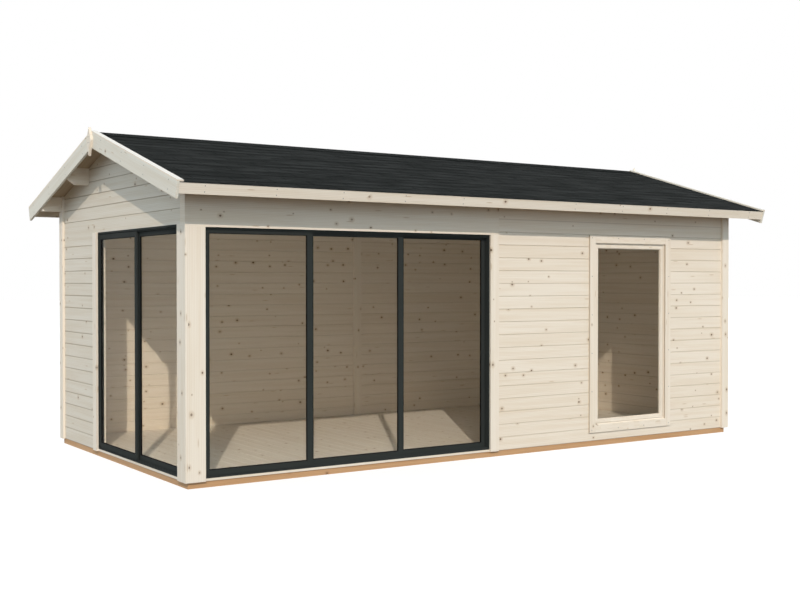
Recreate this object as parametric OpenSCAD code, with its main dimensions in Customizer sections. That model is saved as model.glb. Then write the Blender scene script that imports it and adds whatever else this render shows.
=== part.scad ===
// Log garden hut with a felted saddle roof, two sliding glass doors and one tall window.
// Sizes are in millimetres. The origin is on the ground under the middle of the hut,
// with +X along the front to the right, +Y to the back and +Z up.

/* [Hut] */
// Length over the corner posts
hut_l = 5970; // [5500:10:6600]
// Depth over the corner posts
hut_d = 3020; // [2700:10:3500]
// Side of a square post
post_w = 90; // [80:1:110]
// Clearance between wooden pieces that slot together
fit = 0.5; // [0.2:0.1:1.5]

/* [Foundation] */
// Height of a foundation beam
beam_h = 50; // [40:1:120]
// Width of a foundation beam
beam_w = 70; // [60:1:95]
// How far the beams stand back from the post faces
beam_inset = 30; // [5:1:35]
// Width of a floor joist
joist_w = 45; // [35:1:70]
// Number of floor joists
joist_n = 4; // [3:1:7]
// Thickness of the floor boards
floor_t = 19; // [16:1:28]
// Gap between the floor and what stands round it
floor_gap = 4; // [2:0.5:8]

/* [Logs] */
// Thickness of a wall log
log_t = 44; // [34:1:58]
// Visible height of one log course
log_pitch = 114; // [108:1:122]
// Height of the first course above the foundation
first_log_h = 115; // [100:1:140]
// Width of the groove between two courses
groove_w = 8; // [4:1:14]
// Depth of the groove between two courses
groove_d = 4; // [2:0.5:7]
// Width of the tongue on top of a log
tongue_w = 14; // [10:1:18]
// Height of the tongue on top of a log
tongue_h = 9; // [6:1:12]
// Gap between two courses
course_gap = 0.3; // [0.2:0.1:0.6]
// How far the logs reach into the posts
log_bite = 15; // [8:1:20]

/* [Doors] */
// Width of the corner post's front leg
corner_leg_front = 164; // [120:1:220]
// Length of the corner post's gable leg
corner_leg_gable = 158; // [120:1:220]
// Width of the front door opening
front_door_w = 2710; // [2400:1:2900]
// Height of the front door opening above the foundation
front_door_h = 1911; // [1800:1:1980]
// Width of the gable door opening
gable_door_w = 1822; // [1500:1:2000]
// Height of the gable door opening above the foundation
gable_door_h = 1934; // [1820:1:2000]
// Least height of the header over the front door
header_min = 230; // [150:1:260]
// Least height of the lintel log over the gable door
lintel_min = 100; // [80:1:140]
// How far the door frames stand back from the post faces
door_setback = 20; // [10:1:30]
// Height of the wooden threshold
threshold_h = 19; // [15:1:40]
// Distance between two door tracks
track_pitch = 22; // [21:1:32]
// Frame depth beyond the tracks
track_margin = 6; // [4:1:12]
// Thickness of the sill plate
sill_t = 12; // [8:1:20]
// Thickness of the head
head_t = 16; // [10:1:30]
// Face width of a jamb
jamb_t = 10; // [8:1:25]
// Height of a running rail
rail_h = 10; // [8:1:16]
// Width of a running rail and of a head guide
rail_w = 6; // [4:1:9]
// Clearance beside a rail or guide
rail_clear = 1; // [0.5:0.1:2]
// Gap between a leaf's rollers and the top of its rail
rail_seat = 0.3; // [0.2:0.1:0.8]
// Height of a head guide
guide_h = 10; // [9:1:16]

/* [Leaves] */
// Thickness of a leaf
leaf_t = 16; // [14:1:17]
// Gap between a leaf and the jamb
leaf_gap = 6; // [5:1:12]
// Gap between a leaf and the sill plate
leaf_lift = 5; // [5:1:7]
// Gap between a leaf and the head
leaf_top_gap = 6; // [5:1:8]
// Overlap of two closed leaves
leaf_lap = 31; // [20:1:50]
// Width of a stile at the jamb
jamb_stile = 22; // [18:1:60]
// Width of a stile at the jamb a door closes on
lock_stile = 37; // [22:1:60]
// Width of a stile where two leaves meet
meet_stile = 47; // [44:1:80]
// Height of the bottom rail
bottom_rail = 43; // [35:1:80]
// Height of a front leaf's top rail
front_top_rail = 21; // [20:1:60]
// Height of a gable leaf's top rail
gable_top_rail = 41; // [30:1:70]
// Thickness of the glass
glass_t = 6; // [4:1:10]
// How far the glass reaches into its frame
glass_bite = 9; // [6:1:14]
// Clearance round the glass
glass_fit = 0.3; // [0.2:0.1:0.6]

/* [Window] */
// Left edge of the window opening from the left post face
window_x = 4107; // [3800:1:4200]
// Width of the window opening
window_w = 969; // [700:1:1040]
// Height of the window opening
window_h = 1754; // [1720:1:1800]
// Height of the window opening above a log joint
sill_lift = 15; // [5:1:40]
// Width of a casing board
casing_w = 72; // [60:1:100]
// How far the casing covers the logs
casing_lap = 52; // [35:1:55]
// Thickness of a casing board
casing_t = 18; // [14:1:22]
// Clearance between the window frame and the logs
window_fit = 2; // [1:0.5:4]
// Face width of the window frame
window_frame_w = 30; // [25:1:50]
// Width of the stop that the sash closes on
stop_w = 11; // [8:1:16]
// Thickness of the stop
stop_t = 10; // [8:1:14]
// Gap between the sash and the window frame
sash_gap = 3; // [2:0.5:5]
// Width of the sash members
sash_w = 32; // [26:1:60]
// How far the sash face stands behind the log face
sash_setback = 2; // [0:0.5:6]

/* [Roof] */
// Slope of the roof in degrees
roof_pitch = 16.5; // [14:0.5:20]
// Overhang of the roof boards past the front and back post faces
eave_over = 297; // [150:1:400]
// Overhang of the roof boards past the left gable's post faces
gable_over_left = 177; // [120:1:300]
// Overhang of the roof boards past the right gable's post faces
gable_over_right = 136; // [120:1:300]
// Height of a wall plate at its outer face
plate_h = 122; // [100:1:160]
// Thickness of the roof boards
deck_t = 19; // [16:1:28]
// Thickness of the roofing
felt_t = 4; // [3:0.5:8]
// Gap between the two slopes at the ridge
ridge_gap = 1; // [0.5:0.5:4]
// Gap between the roof boards and what carries them
roof_seat = 0.3; // [0.2:0.1:0.6]
// Width of the ridge cap down each slope
cap_w = 125; // [80:1:200]
// Thickness of the ridge cap
cap_t = 4; // [3:0.5:8]
// Width of a fascia
fascia_w = 83; // [60:1:140]
// Thickness of a fascia
fascia_t = 18; // [14:1:28]
// Width of a bargeboard
barge_w = 125; // [100:1:160]
// Thickness of a bargeboard
barge_t = 20; // [16:1:28]
// How far a bargeboard runs past the fascia
barge_past = 6; // [5:1:50]
// How far a bargeboard stands above the roofing
barge_up = 2; // [1:1:20]
// Width of a verge strip
strip_w = 50; // [30:1:70]
// Thickness of a verge strip
strip_t = 13; // [8:1:25]
// Width of a finial
finial_w = 100; // [70:1:160]
// Height of a finial
finial_h = 241; // [180:1:300]
// Drop from a finial's tip to its widest point
finial_shoulder = 111; // [80:1:140]
// Thickness of a finial
finial_t = 22; // [16:1:30]
// Height of a finial's tip over the verge strips
finial_rise = 26; // [1:1:40]

/* [Purlins] */
// Width of a purlin
purlin_w = 58; // [44:1:75]
// Height of a purlin
purlin_h = 141; // [120:1:170]
// Distance of the side purlins from the ridge
purlin_off = 739; // [550:1:850]
// Length of the slanted cut at a purlin's end
purlin_cut_l = 80; // [40:1:110]
// Height of the slanted cut at a purlin's end
purlin_cut_h = 57; // [30:1:80]

/* [Back wall] */
// Left edge of the back post from the left post face
back_post_x = 3255; // [2600:1:3600]

/* [Hidden] */

// Cutters reach this far past the faces that they cut
over = 10;
// Number of leaves in each door
front_leaves = 3;
gable_leaves = 2;
// Course whose top is the window's sill
sill_course = 1;

spruce = "burlywood";
pale_spruce = "wheat";
treated = "peru";
anthracite = [0.2, 0.21, 0.23];
pane = [0.75, 0.85, 0.85, 0.35];
roofing = [0.2, 0.2, 0.2];

// The roof lies centred on x = 0
x_left = (gable_over_left - gable_over_right - hut_l) / 2;
x_right = x_left + hut_l;
y_front = -hut_d / 2;
y_back = hut_d / 2;
base_z = beam_h;

// Centre lines of the four log walls, and the inner faces of the posts
log_y_front = y_front + post_w / 2;
log_y_back = y_back - post_w / 2;
log_x_left = x_left + post_w / 2;
log_x_right = x_right - post_w / 2;
inner_x_left = x_left + post_w;
inner_x_right = x_right - post_w;
inner_y_front = y_front + post_w;
inner_y_back = y_back - post_w;
slot_w = log_t + 2 * fit;
log_end = log_bite - fit;

// Top of a log course above the ground
function course_z(n) = base_z + first_log_h + (n - 1) * log_pitch;
function course_base(n) = n == 1 ? base_z : course_z(n - 1) + course_gap;
function courses_up_to(h) = 1 + ceil((h - first_log_h) / log_pitch);

// The wall plate lies on the first course that clears the front header and the gable's lintel log
lintel_top_course = courses_up_to(gable_door_h + lintel_min);
lintel_low_course = lintel_top_course - 2;
wall_courses = max(courses_up_to(front_door_h + header_min), lintel_top_course + 1);
plate_z = course_z(wall_courses);
plate_top_z = plate_z + plate_h;

// Front wall: the logs start behind the front door post
door_post_x = x_left + corner_leg_front + front_door_w;
front_wall_x = door_post_x + post_w;
header_z = base_z + front_door_h;
window_x0 = x_left + window_x;
window_x1 = window_x0 + window_w;
window_low_z = course_z(sill_course);
window_z0 = window_low_z + sill_lift;
window_z1 = window_z0 + window_h;
window_head_course = sill_course + floor((sill_lift + window_h) / log_pitch);
sash_y0 = log_y_front - log_t / 2 + sash_setback;
sash_y1 = log_y_front + log_t / 2 - stop_t;
sash_inset = window_fit + window_frame_w + sash_gap;
sash_mid = (sash_y0 + sash_y1) / 2;
pane_inset = sash_inset + sash_w - glass_bite;

// Left gable: the logs start behind the gable door post
gable_post_y = y_front + corner_leg_gable + gable_door_w;
left_wall_y = gable_post_y + post_w;
lintel_z = base_z + gable_door_h;

// Roof: the underside of the boards passes over the outer top edges of the wall plates
roof_tan = tan(roof_pitch);
ridge_under_z = plate_top_z + (log_y_back + log_t / 2) * roof_tan;
function under_z(y) = ridge_under_z - abs(y) * roof_tan;
felt_top = deck_t + felt_t;
deck_run = (hut_d / 2 + eave_over) / cos(roof_pitch);
eave_run = deck_run + fascia_t;
barge_run = eave_run + barge_past;
barge_top = felt_top + barge_up;
strip_top = barge_top + strip_t;
roof_x0 = x_left - gable_over_left;
roof_x1 = x_right + gable_over_right;
barge_x0 = roof_x0 - barge_t;
barge_x1 = roof_x1 + barge_t;
finial_top_z = ridge_under_z + strip_top / cos(roof_pitch) + finial_rise;
purlin_lines = [-purlin_off, 0, purlin_off];
function purlin_z(y) = under_z(y) - purlin_h;

// Doors, measured in a frame whose x runs along the opening and y into the hut
leaf_z0 = threshold_h + sill_t + leaf_lift;
function door_depth(leaves) = leaves * track_pitch + track_margin;
function track_y(k) = track_margin / 2 + track_pitch * (k + 1 / 2);
function leaf_w(w, leaves) =
    (w - 2 * jamb_t - 2 * leaf_gap + (leaves - 1) * leaf_lap) / leaves;
function leaf_x(w, leaves, k) = jamb_t + leaf_gap + k * (leaf_w(w, leaves) - leaf_lap);
function leaf_h(h) = h - head_t - leaf_top_gap - leaf_z0;
// Jamb stiles of a door's first and last leaf
front_ends = [jamb_stile, lock_stile];
gable_ends = [lock_stile, jamb_stile];
function left_stile(k, ends) = k == 0 ? ends[0] : meet_stile;
function right_stile(k, leaves, ends) = k == leaves - 1 ? ends[1] : meet_stile;

// Box between two corners
module block(x0, x1, y0, y1, z0, z1) {
    translate([x0, y0, z0]) cube([x1 - x0, y1 - y0, z1 - z0]);
}

// Profile drawn across and up, run along X
module run_x(x0, x1, y = 0) {
    translate([x0, y, 0]) rotate([90, 0, 90]) linear_extrude(x1 - x0) children();
}

// Profile drawn across and up, run along Y
module run_y(y0, y1, x = 0) {
    translate([x, y1, 0]) rotate([90, 0, 0]) linear_extrude(y1 - y0) children();
}

// Right half of a log's section, from its groove below to its tongue above
function log_half(z0, z1, grooved, tongued) = concat(
    grooved ? [
        [tongue_w / 2 + fit, z0 + tongue_h + fit], [tongue_w / 2 + fit, z0]
    ] : [],
    [
        [log_t / 2 - groove_d, z0], [log_t / 2, z0 + groove_w / 2],
        [log_t / 2, z1 - groove_w / 2], [log_t / 2 - groove_d, z1]
    ],
    tongued ? [
        [tongue_w / 2, z1], [tongue_w / 2, z1 + tongue_h]
    ] : []
);

function mirrored(points) =
    [for (i = [len(points) - 1:-1:0]) [-points[i].x, points[i].y]];

module log_section(z0, z1, grooved, tongued) {
    half = log_half(z0, z1, grooved, tongued);
    polygon(concat(half, mirrored(half)));
}

// Section of the log that fills the courses from first to last
module course_section(first, last, tongued = true) {
    log_section(course_base(first), course_z(last), first > 1, tongued);
}

// Logs stacked one on another, run along X or along Y
module logs_x(x0, x1, y, first, last) {
    for (n = [first:1:last])
        run_x(x0, x1, y) course_section(n, n, n < wall_courses);
}

module logs_y(y0, y1, x, first, last) {
    for (n = [first:1:last])
        run_y(y0, y1, x) course_section(n, n);
}

// Everything below the roof boards
module under_roof() {
    side = hut_d / 2;
    eave_z = under_z(side) - roof_seat;
    run_x(roof_x0 - over, roof_x1 + over)
        polygon([[-side, 0], [side, 0], [side, eave_z], [0, ridge_under_z - roof_seat], [-side, eave_z]]);
}

// Groove for the ends of logs that run along X, or along Y
module slot_for_x_logs(x0, x1, y) {
    block(x0, x1, y - slot_w / 2, y + slot_w / 2, base_z - over, ridge_under_z);
}

module slot_for_y_logs(y0, y1, x) {
    block(x - slot_w / 2, x + slot_w / 2, y0, y1, base_z - over, ridge_under_z);
}

module foundation_beams() {
    x0 = x_left + beam_inset;
    x1 = x_right - beam_inset;
    y0 = y_front + beam_inset;
    y1 = y_back - beam_inset;
    color(treated) {
        for (y = [y0, y1 - beam_w])
            block(x0, x1, y, y + beam_w, 0, beam_h);
        for (x = [x0, x1 - beam_w])
            block(x, x + beam_w, y0 + beam_w + fit, y1 - beam_w - fit, 0, beam_h);
    }
}

module foundation_joists() {
    edge = beam_inset + beam_w;
    step = (hut_d - 2 * edge) / (joist_n + 1);
    color(treated)
        for (i = [1:joist_n]) {
            y = y_front + edge + i * step;
            block(x_left + edge, x_right - edge, y - joist_w / 2, y + joist_w / 2, 0, beam_h);
        }
}

module floor() {
    edge = log_t / 2 + floor_gap;
    top = base_z + floor_t;
    color(spruce) difference() {
        block(log_x_left + edge, log_x_right - edge, log_y_front + edge, log_y_back - edge, base_z, top);
        for (x = [x_left, inner_x_right], y = [y_front, inner_y_back])
            floor_cut(x, x + post_w, y, y + post_w);
        floor_cut(x_left, door_post_x + post_w, y_front, y_front + door_setback + door_depth(front_leaves));
        floor_cut(x_left, x_left + door_setback + door_depth(gable_leaves), y_front, left_wall_y);
        floor_cut(x_left, inner_x_left, y_front, y_front + corner_leg_gable);
        floor_cut(x_left, x_left + corner_leg_front, y_front, inner_y_front);
        floor_cut(x_left, inner_x_left, gable_post_y, left_wall_y);
        floor_cut(x_left + back_post_x, x_left + back_post_x + post_w, inner_y_back, y_back);
    }
}

module floor_cut(x0, x1, y0, y1) {
    block(x0 - floor_gap, x1 + floor_gap, y0 - floor_gap, y1 + floor_gap,
        base_z - over, base_z + floor_t + over);
}

module corner_post_front_left() {
    color(spruce) union() {
        block(x_left, x_left + corner_leg_front, y_front, inner_y_front, base_z, header_z);
        block(x_left, inner_x_left, y_front, y_front + corner_leg_gable, base_z, header_z);
        block(x_left, inner_x_left, inner_y_front, y_front + corner_leg_gable, base_z, lintel_z);
    }
}

// Square post up to the roof, forked round the wall plate; drawn for the back right corner
module corner_post() {
    difference() {
        intersection() {
            block(inner_x_right, x_right, inner_y_back, y_back, base_z, ridge_under_z);
            under_roof();
        }
        slot_for_x_logs(inner_x_right - over, inner_x_right + log_bite, log_y_back);
        slot_for_y_logs(inner_y_back - over, inner_y_back + log_bite, log_x_right);
        block(inner_x_right - over, x_right + over, log_y_back - slot_w / 2, log_y_back + slot_w / 2,
            plate_z, ridge_under_z);
    }
}

module corner_posts() {
    color(spruce) {
        corner_post();
        mirror([0, 1, 0]) corner_post();
        translate([x_left + x_right, 0, 0]) mirror([1, 0, 0]) corner_post();
    }
}

module wall_posts() {
    back_x = x_left + back_post_x;
    color(spruce) {
        difference() {
            block(door_post_x, front_wall_x, y_front, inner_y_front, base_z, header_z);
            slot_for_x_logs(front_wall_x - log_bite, front_wall_x + over, log_y_front);
        }
        difference() {
            block(x_left, inner_x_left, gable_post_y, left_wall_y, base_z, lintel_z);
            slot_for_y_logs(left_wall_y - log_bite, left_wall_y + over, log_x_left);
        }
        difference() {
            block(back_x, back_x + post_w, inner_y_back, y_back, base_z, plate_z);
            slot_for_x_logs(back_x - over, back_x + log_bite, log_y_back);
            slot_for_x_logs(back_x + post_w - log_bite, back_x + post_w + over, log_y_back);
        }
    }
}

module front_header() {
    color(spruce) difference() {
        block(x_left, front_wall_x, y_front, inner_y_front, header_z, plate_z);
        slot_for_x_logs(front_wall_x - log_bite, front_wall_x + over, log_y_front);
    }
}

// Cuts the window opening out of the logs of the front wall
module front_logs() {
    color(spruce) difference() {
        children();
        block(window_x0, window_x1, y_front, inner_y_front, window_low_z, window_z1);
    }
}

module front_wall_base() {
    front_logs()
        logs_x(front_wall_x - log_end, inner_x_right + log_end, log_y_front, 1, sill_course);
}

module front_wall_panels() {
    front_logs()
        logs_x(front_wall_x - log_end, inner_x_right + log_end, log_y_front,
            sill_course + 1, window_head_course);
}

// The courses over the window, with a double-height log under the wall plate
module front_wall_top() {
    x0 = front_wall_x - log_end;
    x1 = inner_x_right + log_end;
    front_logs() {
        logs_x(x0, x1, log_y_front, window_head_course + 1, wall_courses - 2);
        run_x(x0, x1, log_y_front) course_section(wall_courses - 1, wall_courses, false);
    }
}

module left_wall() {
    color(spruce)
        logs_y(left_wall_y - log_end, inner_y_back + log_end, log_x_left, 1, lintel_low_course);
}

// Double-height log that runs over the gable door
module left_lintel() {
    color(spruce) difference() {
        run_y(inner_y_front + fit, inner_y_back + log_end, log_x_left)
            course_section(lintel_low_course + 1, lintel_top_course);
        block(x_left, inner_x_left, y_front, left_wall_y - log_end, base_z, lintel_z);
    }
}

// Gable logs between two ends, cut to the roof and notched for the purlins
module gable_logs(x, y0, y1, first) {
    last = first + ceil((ridge_under_z - course_z(first)) / log_pitch);
    difference() {
        intersection() {
            logs_y(y0, y1, x, first, last);
            under_roof();
        }
        for (y = purlin_lines)
            block(x - post_w, x + post_w, y - purlin_w / 2 - fit, y + purlin_w / 2 + fit,
                purlin_z(y), ridge_under_z);
    }
}

module left_gable() {
    color(spruce) difference() {
        gable_logs(log_x_left, log_y_front + log_t / 2 + fit, inner_y_back + log_end, lintel_top_course + 1);
        block(x_left, inner_x_left, y_front, inner_y_front + fit, header_z, plate_z);
    }
}

module right_wall() {
    color(spruce)
        logs_y(inner_y_front - log_end, inner_y_back + log_end, log_x_right, 1, wall_courses);
}

module right_gable() {
    color(spruce)
        gable_logs(log_x_right, inner_y_front - log_end, inner_y_back + log_end, wall_courses + 1);
}

module back_wall() {
    back_x = x_left + back_post_x;
    color(spruce) {
        logs_x(inner_x_left - log_end, back_x + log_end, log_y_back, 1, wall_courses);
        logs_x(back_x + post_w - log_end, inner_x_right + log_end, log_y_back, 1, wall_courses);
    }
}

module wall_plates() {
    color(spruce)
        for (y = [log_y_front, log_y_back])
            intersection() {
                block(roof_x0, roof_x1, y - log_t / 2, y + log_t / 2, plate_z, ridge_under_z);
                under_roof();
            }
}

// Slanted cut under the left end of a purlin
module purlin_end_cut(y) {
    z = purlin_z(y);
    run_y(y - purlin_w, y + purlin_w)
        polygon([
            [roof_x0 - over, z - over], [roof_x0 + purlin_cut_l, z - over], [roof_x0 + purlin_cut_l, z],
            [roof_x0, z + purlin_cut_h], [roof_x0 - over, z + purlin_cut_h]
        ]);
}

module purlins() {
    color(spruce)
        for (y = purlin_lines)
            difference() {
                intersection() {
                    block(roof_x0, roof_x1, y - purlin_w / 2, y + purlin_w / 2, purlin_z(y), ridge_under_z);
                    under_roof();
                }
                purlin_end_cut(y);
                mirror([1, 0, 0]) purlin_end_cut(y);
            }
}

// Point on the front slope: run is measured down the slope, rise square to the boards' underside
function slope_point(run, rise) = [
    -run * cos(roof_pitch) - rise * sin(roof_pitch),
    ridge_under_z - run * sin(roof_pitch) + rise * cos(roof_pitch)
];

// Point of a plumb cut, so far out from the ridge
function plumb_point(out, rise) =
    slope_point((out - rise * sin(roof_pitch)) / cos(roof_pitch), rise);
function ridge_point(rise) = plumb_point(ridge_gap / 2, rise);

// Layer of the front slope from the ridge down to a run, between two rises, cut square at the eave
module slope_layer(run, rise0, rise1) {
    polygon([ridge_point(rise0), slope_point(run, rise0), slope_point(run, rise1), ridge_point(rise1)]);
}

module both_slopes() {
    children();
    mirror([0, 1, 0]) children();
}

module both_gables() {
    children();
    mirror([1, 0, 0]) children();
}

module roof_deck() {
    color(pale_spruce) both_slopes()
        run_x(roof_x0, roof_x1) slope_layer(deck_run, 0, deck_t);
}

module roof_felt() {
    color(roofing) both_slopes()
        run_x(roof_x0, roof_x1) slope_layer(eave_run, deck_t, felt_top);
}

// Strip along the top of each slope, between the verge strips
module ridge_cap() {
    low = felt_top + roof_seat;
    color(roofing) both_slopes()
        run_x(barge_x0 + strip_w + fit, barge_x1 - strip_w - fit) slope_layer(cap_w, low, low + cap_t);
}

module fascias() {
    color(pale_spruce) both_slopes()
        run_x(roof_x0, roof_x1)
            polygon([
                slope_point(deck_run, deck_t - fascia_w), slope_point(eave_run, deck_t - fascia_w),
                slope_point(eave_run, deck_t), slope_point(deck_run, deck_t)
            ]);
}

module bargeboards() {
    color(pale_spruce) both_slopes() both_gables()
        run_x(barge_x0, roof_x0) slope_layer(barge_run, barge_top - barge_w, barge_top);
}

module verge_strips() {
    color(pale_spruce) both_slopes() both_gables()
        run_x(barge_x0, barge_x0 + strip_w) slope_layer(barge_run, barge_top, strip_top);
}

module finials() {
    color(pale_spruce) both_gables()
        run_x(barge_x0 - finial_t, barge_x0, 0)
            polygon([
                [0, finial_top_z], [-finial_w / 2, finial_top_z - finial_shoulder],
                [0, finial_top_z - finial_h], [finial_w / 2, finial_top_z - finial_shoulder]
            ]);
}

// Four boards round the window opening: the side boards run the full height
module casing_boards(y0, y1) {
    x0 = window_x0 - casing_lap;
    x1 = window_x1 + casing_lap;
    z0 = window_z0 - casing_lap;
    z1 = window_z1 + casing_lap;
    for (x = [x0, x1 - casing_w]) block(x, x + casing_w, y0, y1, z0, z1);
    for (z = [z0, z1 - casing_w]) block(x0 + casing_w + fit, x1 - casing_w - fit, y0, y1, z, z + casing_w);
}

module window_casing() {
    outer = log_y_front - log_t / 2;
    inner = log_y_front + log_t / 2;
    color(pale_spruce) {
        casing_boards(outer - casing_t, outer);
        casing_boards(inner, inner + casing_t);
    }
}

// Box inside the window opening, set in from its edges
module window_block(inset, y0, y1) {
    block(window_x0 + inset, window_x1 - inset, y0, y1, window_z0 + inset, window_z1 - inset);
}

module window_frame() {
    y0 = log_y_front - log_t / 2;
    y1 = log_y_front + log_t / 2;
    rebate = window_fit + window_frame_w;
    color(pale_spruce) difference() {
        union() {
            window_block(window_fit, y0, y1);
            block(window_x0 + window_fit, window_x1 - window_fit, y0, y1,
                window_low_z + window_fit, window_z0 + window_frame_w);
        }
        window_block(rebate, y0 - over, sash_y1);
        window_block(rebate + stop_w, y0 - over, y1 + over);
    }
}

module window_sash() {
    color(pale_spruce) difference() {
        window_block(sash_inset, sash_y0, sash_y1);
        window_block(sash_inset + sash_w, sash_y0 - over, sash_y1 + over);
        window_block(pane_inset, sash_mid - glass_t / 2 - glass_fit, sash_mid + glass_t / 2 + glass_fit);
    }
}

module window_glass() {
    color(pane) window_block(pane_inset + glass_fit, sash_mid - glass_t / 2, sash_mid + glass_t / 2);
}

// Places a door drawn with its opening from x = 0, its outer face on y = 0 and the foundation on z = 0
module in_front_door() {
    translate([x_left + corner_leg_front, y_front + door_setback, base_z]) children();
}

module in_gable_door() {
    translate([x_left + door_setback, gable_post_y, base_z]) rotate([0, 0, -90]) children();
}

module threshold(w, leaves) {
    block(0, w, 0, door_depth(leaves), 0, threshold_h);
}

module thresholds() {
    color(pale_spruce) {
        in_front_door() threshold(front_door_w, front_leaves);
        in_gable_door() threshold(gable_door_w, gable_leaves);
    }
}

module door_head(w, h, leaves) {
    color(anthracite) union() {
        block(0, w, 0, door_depth(leaves), h - head_t, h);
        for (k = [0:leaves - 1])
            block(jamb_t, w - jamb_t, track_y(k) - rail_w / 2, track_y(k) + rail_w / 2,
                h - head_t - guide_h, h - head_t / 2);
    }
}

module door_sill(w, leaves) {
    color(anthracite) union() {
        block(0, w, 0, door_depth(leaves), threshold_h, threshold_h + sill_t);
        for (k = [0:leaves - 1])
            block(jamb_t, w - jamb_t, track_y(k) - rail_w / 2, track_y(k) + rail_w / 2,
                threshold_h + sill_t / 2, threshold_h + sill_t + rail_h);
    }
}

module door_jambs(w, h, leaves) {
    color(anthracite)
        for (x = [0, w - jamb_t])
            block(x, x + jamb_t, 0, door_depth(leaves), threshold_h + sill_t, h - head_t);
}

// Leaf frame with a groove for its glass, one over its rail and one round its head guide
module leaf_frame(w, h, leaves, k, ends, top_rail) {
    lw = leaf_w(w, leaves);
    lh = leaf_h(h);
    x0 = left_stile(k, ends);
    x1 = lw - right_stile(k, leaves, ends);
    z1 = lh - top_rail;
    mid = leaf_t / 2;
    groove = rail_w / 2 + rail_clear;
    color(anthracite) translate([leaf_x(w, leaves, k), track_y(k) - mid, leaf_z0]) difference() {
        cube([lw, leaf_t, lh]);
        block(x0, x1, -over, leaf_t + over, bottom_rail, z1);
        block(x0 - glass_bite, x1 + glass_bite, mid - glass_t / 2 - glass_fit,
            mid + glass_t / 2 + glass_fit, bottom_rail - glass_bite, z1 + glass_bite);
        block(-over, lw + over, mid - groove, mid + groove, -over, rail_h - leaf_lift + rail_seat);
        block(-over, lw + over, mid - groove, mid + groove,
            lh + leaf_top_gap - guide_h - rail_clear, lh + over);
    }
}

module leaf_glass(w, h, leaves, k, ends, top_rail) {
    bite = glass_bite - glass_fit;
    x0 = leaf_x(w, leaves, k) + left_stile(k, ends) - bite;
    x1 = leaf_x(w, leaves, k) + leaf_w(w, leaves) - right_stile(k, leaves, ends) + bite;
    color(pane)
        block(x0, x1, track_y(k) - glass_t / 2, track_y(k) + glass_t / 2,
            leaf_z0 + bottom_rail - bite, leaf_z0 + leaf_h(h) - top_rail + bite);
}

module front_leaf(k) {
    in_front_door() leaf_frame(front_door_w, front_door_h, front_leaves, k, front_ends, front_top_rail);
}

module front_glass(k) {
    in_front_door() leaf_glass(front_door_w, front_door_h, front_leaves, k, front_ends, front_top_rail);
}

module gable_leaf(k) {
    in_gable_door() leaf_frame(gable_door_w, gable_door_h, gable_leaves, k, gable_ends, gable_top_rail);
}

module gable_glass(k) {
    in_gable_door() leaf_glass(gable_door_w, gable_door_h, gable_leaves, k, gable_ends, gable_top_rail);
}

module front_door_head() {
    in_front_door() door_head(front_door_w, front_door_h, front_leaves);
}

module front_door_sill() {
    in_front_door() door_sill(front_door_w, front_leaves);
}

module front_door_jambs() {
    in_front_door() door_jambs(front_door_w, front_door_h, front_leaves);
}

module gable_door_head() {
    in_gable_door() door_head(gable_door_w, gable_door_h, gable_leaves);
}

module gable_door_sill() {
    in_gable_door() door_sill(gable_door_w, gable_leaves);
}

module gable_door_jambs() {
    in_gable_door() door_jambs(gable_door_w, gable_door_h, gable_leaves);
}

module front_leaf_left() { front_leaf(0); }
module front_leaf_left_glass() { front_glass(0); }
module front_leaf_middle() { front_leaf(1); }
module front_leaf_middle_glass() { front_glass(1); }
module front_leaf_right() { front_leaf(2); }
module front_leaf_right_glass() { front_glass(2); }
module gable_leaf_far() { gable_leaf(0); }
module gable_leaf_far_glass() { gable_glass(0); }
module gable_leaf_near() { gable_leaf(1); }
module gable_leaf_near_glass() { gable_glass(1); }

foundation_beams();
foundation_joists();
floor();
corner_post_front_left();
corner_posts();
wall_posts();
front_header();
front_wall_base();
front_wall_panels();
front_wall_top();
left_wall();
left_lintel();
left_gable();
right_wall();
right_gable();
back_wall();
wall_plates();
purlins();
roof_deck();
roof_felt();
ridge_cap();
fascias();
bargeboards();
verge_strips();
finials();
window_casing();
window_frame();
window_sash();
window_glass();
thresholds();
front_door_head();
front_door_sill();
front_door_jambs();
gable_door_head();
gable_door_sill();
gable_door_jambs();
front_leaf_left();
front_leaf_left_glass();
front_leaf_middle();
front_leaf_middle_glass();
front_leaf_right();
front_leaf_right_glass();
gable_leaf_far();
gable_leaf_far_glass();
gable_leaf_near();
gable_leaf_near_glass();
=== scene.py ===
# %% [markdown]
# # Dressing a wooden garden hut
# The hut is a log cabin: tongued spruce logs between square posts, a shingled saddle roof, a three-leaf
# glass sliding door in the front, a two-leaf one in the left gable and one tall window. The packed
# model already holds every log, post, leaf and pane at its real size. This lesson gives each of them its
# finish, and models what is too fine for construction: floor and roof boards, shingles, glazing seals,
# nails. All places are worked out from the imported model, in metres.

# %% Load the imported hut
from math import atan2, cos, pi, radians, sin

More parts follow.
